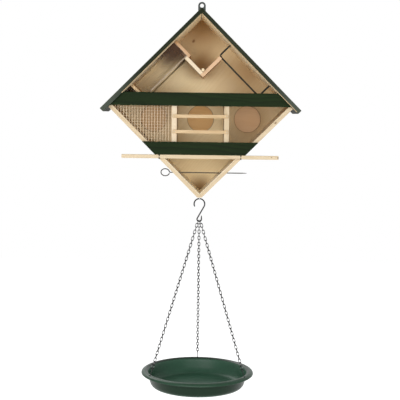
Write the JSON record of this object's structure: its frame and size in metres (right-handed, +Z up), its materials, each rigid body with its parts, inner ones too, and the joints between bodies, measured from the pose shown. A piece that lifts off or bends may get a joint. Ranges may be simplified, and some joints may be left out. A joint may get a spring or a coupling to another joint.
{
  "type": "hanging bird feeder",
  "caption": "Wooden bird feeder shaped like a square on its corner, with roof, feed compartments, seed silo, jar cradle and perch, and a round dish hung below on chains.",
  "frame": {"origin": "middle of the hanging hole in the plate above the ridge, halfway through the plate", "axes": "+X to the right seen from the front, +Y to the back, towards the wall or tree, +Z up"},
  "size_m": [0.5318, 0.31, 1.0633],
  "materials": {
    "green_stain": "dark green wood stain, matt",
    "pine": "planed softwood, untreated",
    "plywood": "thin plywood, untreated",
    "clear_acrylic": "clear sheet",
    "galvanised_wire": "zinc coated",
    "bright_steel": "zinc plated",
    "dark_metal": "dark, satin",
    "chain_steel": "dull zinc",
    "green_plastic": "dark green, satin"
  },
  "bodies": {
    "house": {"roof_board_left": "green_stain", "roof_board_right": "green_stain", "upper_front_board": "green_stain", "lower_front_board": "green_stain", "lower_wall_left": "pine", "lower_wall_right": "pine", "back_board": "pine", "upper_floor": "pine", "lower_floor": "pine", "partition_left": "pine", "partition_right": "pine", "slat_upper": "pine", "slat_lower": "pine", "perch_rail": "pine", "cradle_arm_left": "pine", "cradle_arm_right": "pine", "jar_perch": "pine", "silo_chute": "pine", "silo_wall": "clear_acrylic", "silo_front_pane": "clear_acrylic", "wire_mesh": "galvanised_wire", "screw_eye": "galvanised_wire", "cover_screws": "bright_steel", "hanger_plate": "dark_metal", "suet_bail": "dark_metal"},
    "skewer": {"skewer": "galvanised_wire"},
    "hook": {"s_hook": "dark_metal"},
    "hanging_dish": {"chain_back": "chain_steel", "chain_left": "chain_steel", "chain_right": "chain_steel", "rim_hooks": "chain_steel", "dish": "green_plastic"},
    "lid": {"silo_lid": "pine"},
    "cover_left": {"fill_cover_left": "plywood"},
    "cover_middle": {"fill_cover_middle": "plywood"},
    "cover_right": {"fill_cover_right": "plywood"}
  },
  "joints": [
    {"name": "skewer_slide", "type": "slide", "parent": "house", "child": "skewer", "axis": [-1, 0, 0], "range_m": [0, 0.19]},
    {"name": "hook_swing", "type": "hinge", "parent": "house", "child": "hook", "pos_m": [0, -0.086, -0.53354], "axis": [0, 1, 0], "range_deg": [-25, 25]},
    {"name": "dish_swing", "type": "hinge", "parent": "hook", "child": "hanging_dish", "pos_m": [0, -0.086, -0.59324], "axis": [1, 0, 0], "range_deg": [-12, 12]},
    {"name": "lid_lift", "type": "slide", "parent": "house", "child": "lid", "axis": [0.7071, 0, 0.7071], "range_m": [0, 0.06]},
    {"name": "cover_left_turn", "type": "hinge", "parent": "house", "child": "cover_left", "pos_m": [-0.13105, 0.0013, -0.27195], "axis": [0, 1, 0], "range_deg": [-120, 120]},
    {"name": "cover_middle_turn", "type": "hinge", "parent": "house", "child": "cover_middle", "pos_m": [0, 0.0013, -0.27195], "axis": [0, 1, 0], "range_deg": [-120, 120]},
    {"name": "cover_right_turn", "type": "hinge", "parent": "house", "child": "cover_right", "pos_m": [0.13105, 0.0013, -0.27195], "axis": [0, 1, 0], "range_deg": [-120, 120]}
  ]
}
